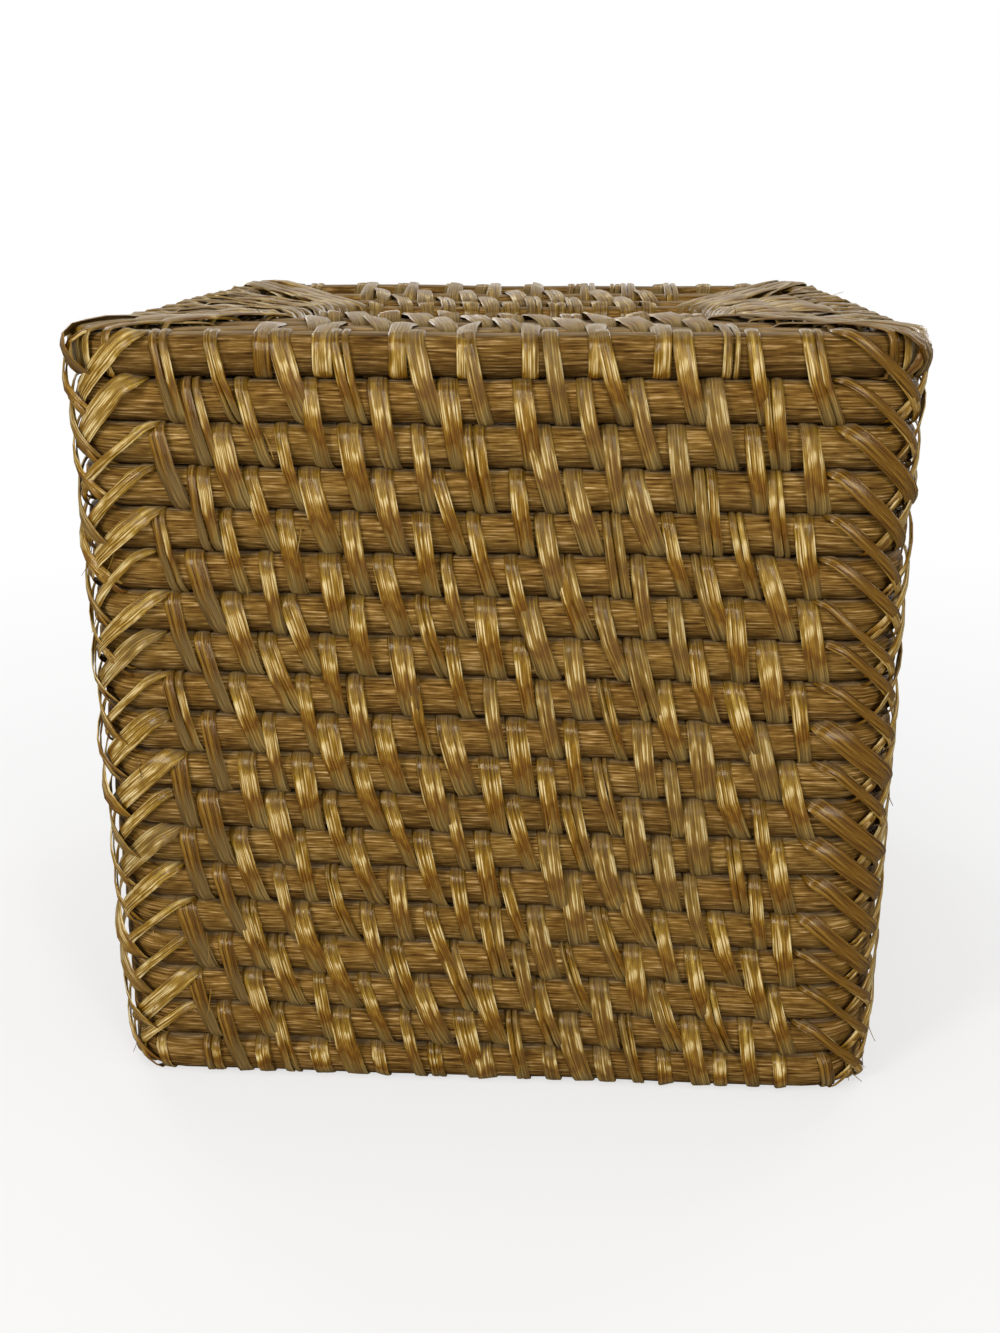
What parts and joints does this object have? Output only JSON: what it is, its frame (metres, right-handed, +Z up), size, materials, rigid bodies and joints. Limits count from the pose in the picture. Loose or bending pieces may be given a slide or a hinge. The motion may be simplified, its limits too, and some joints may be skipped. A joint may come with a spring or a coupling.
{
  "type": "tissue box cover",
  "caption": "Square rattan tissue box cover: bent rods coiled up the sides and over the top rim, bound by leaning loops of peel, open below, with a square opening on top.",
  "frame": {"origin": "on the cover's upright axis, at the height of the surface that it stands on", "axes": "+Z up, -Y out of the front as pictured, +X to the right of the front"},
  "size_m": [0.146, 0.146, 0.1419],
  "materials": {
    "rod": "matt unpeeled rattan core, brown, fine lengthwise grain",
    "peel": "glossy rattan peel, golden to amber, with lengthwise fibre lines"
  },
  "bodies": {
    "root": {"side_rod_01": "rod", "side_rod_02": "rod", "side_rod_03": "rod", "side_rod_04": "rod", "side_rod_05": "rod", "side_rod_06": "rod", "side_rod_07": "rod", "side_rod_08": "rod", "side_rod_09": "rod", "side_rod_10": "rod", "side_rod_11": "rod", "side_rod_12": "rod", "side_rod_13": "rod", "side_rod_14": "rod", "side_rod_15": "rod", "side_rod_16": "rod", "side_rod_17": "rod", "side_rod_18": "rod", "side_rod_19": "rod", "top_rod_1": "rod", "top_rod_2": "rod", "top_rod_3": "rod", "foot_stitches": "peel", "side_stitches_01": "peel", "side_stitches_02": "peel", "side_stitches_03": "peel", "side_stitches_04": "peel", "side_stitches_05": "peel", "side_stitches_06": "peel", "side_stitches_07": "peel", "side_stitches_08": "peel", "side_stitches_09": "peel", "side_stitches_10": "peel", "side_stitches_11": "peel", "side_stitches_12": "peel", "side_stitches_13": "peel", "side_stitches_14": "peel", "side_stitches_15": "peel", "side_stitches_16": "peel", "side_stitches_17": "peel", "side_stitches_18": "peel", "edge_stitches": "peel", "top_stitches_1": "peel", "top_stitches_2": "peel", "rim_stitches": "peel"}
  },
  "joints": []
}
